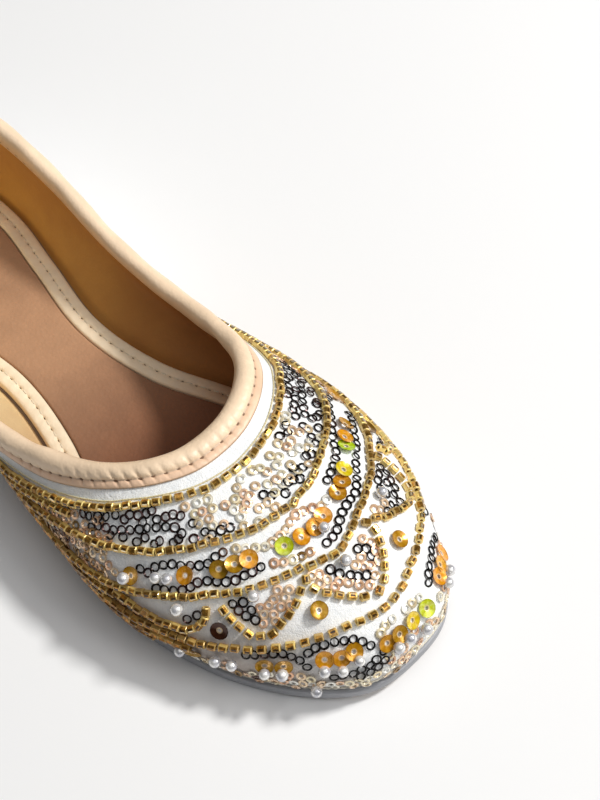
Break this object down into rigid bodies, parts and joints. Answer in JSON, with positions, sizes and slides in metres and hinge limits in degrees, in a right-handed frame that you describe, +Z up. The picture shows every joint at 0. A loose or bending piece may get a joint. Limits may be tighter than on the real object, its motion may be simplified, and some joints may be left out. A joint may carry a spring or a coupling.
{
  "type": "mojari shoe",
  "caption": "Slip-on embroidered flat shoe with a round toe, a low open topline, a padded binding and a flat sole with a low heel.",
  "frame": {"origin": "on the floor, under the middle of the shoe's bounding box", "axes": "+Y from the toe to the heel, +X to the wearer's left, +Z up"},
  "size_m": [0.0898, 0.2476, 0.0618],
  "materials": {
    "outsole": "smooth light grey edge, plain leather tread",
    "heel_lift": "smooth grey edge",
    "insole": "satin tan",
    "insole_border": "satin cream",
    "upper": "short white pile, tan leather lining inside",
    "collar_binding": "satin, padded",
    "lining": "satin ochre tan",
    "stitching": "waxed thread",
    "gold_beads": "cut glass tube beads with a gold lining",
    "ring_sequins": "small metallised rings, dark bronze to champagne",
    "disc_sequins": "cupped metallised discs, amber to yellow green",
    "pearls": "pearl lacquer"
  },
  "bodies": {
    "root": {"outsole": "outsole", "heel_lift": "heel_lift", "insole": "insole", "insole_border": "insole_border", "upper": "upper", "collar_binding": "collar_binding"}
  },
  "joints": []
}
